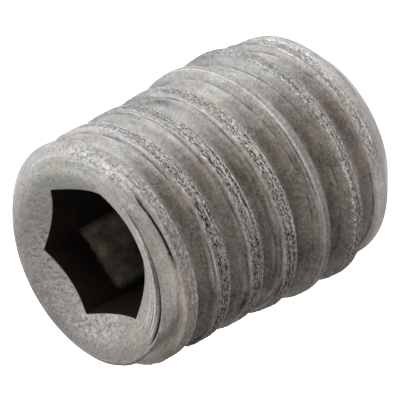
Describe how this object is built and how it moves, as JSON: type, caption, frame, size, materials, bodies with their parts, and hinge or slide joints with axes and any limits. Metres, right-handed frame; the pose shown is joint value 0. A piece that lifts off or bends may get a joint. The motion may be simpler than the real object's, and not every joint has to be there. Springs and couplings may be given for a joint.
{
  "type": "grub set screw",
  "caption": "Headless metric set screw with a right-hand thread, a countersunk hexagon socket in one end and a chamfered flat point at the other.",
  "frame": {"origin": "centre of the flat point, on the thread's axis", "axes": "+Z along the thread's axis, from the flat point to the socket face; -Y is the side on which thread_start places a crest"},
  "size_m": [0.004, 0.004, 0.005],
  "materials": {
    "steel": "plain steel as rolled, dull grey, with pitted crests"
  },
  "bodies": {
    "root": {"set_screw": "steel"}
  },
  "joints": []
}
